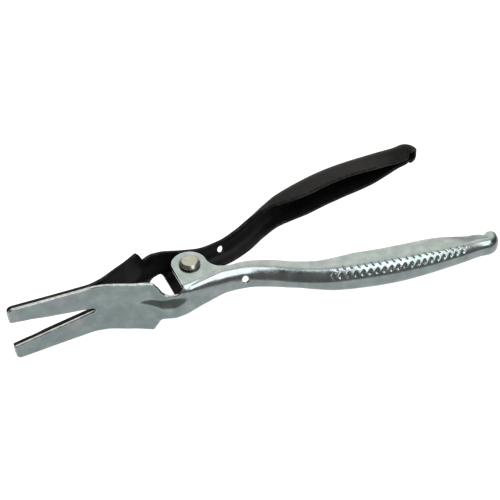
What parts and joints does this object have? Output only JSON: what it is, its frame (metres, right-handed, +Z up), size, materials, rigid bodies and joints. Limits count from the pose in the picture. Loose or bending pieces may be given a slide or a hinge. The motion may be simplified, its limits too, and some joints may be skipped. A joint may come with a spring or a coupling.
{
  "type": "hose removal pliers",
  "caption": "Spreading pliers with forked, face-to-face jaws hinged on one rivet; squeezing the handles opens the forks to push a hose off its pipe.",
  "frame": {"origin": "on the pivot axis, half way up the rivet and in the middle plane between the two halves", "axes": "+X to the handle ends, with the forks towards -X; +Y to the black half; +Z up along the pivot axis"},
  "size_m": [0.226, 0.086, 0.0318],
  "materials": {
    "zinc_plate": "bright zinc plate over formed sheet steel",
    "black_paint": "semi-gloss black paint over formed sheet steel",
    "rivet_steel": "plated rivet with bevelled heads",
    "sleeve_steel": "plain turned steel"
  },
  "bodies": {
    "plated_side": {"plated_half": "zinc_plate", "rivet": "rivet_steel", "spacer_sleeve": "sleeve_steel"},
    "black_side": {"black_half": "black_paint"}
  },
  "joints": [
    {"name": "jaw_pivot", "type": "hinge", "parent": "plated_side", "child": "black_side", "pos_m": [0, 0, 0], "axis": [0, 0, -1], "range_deg": [0, 24]}
  ]
}
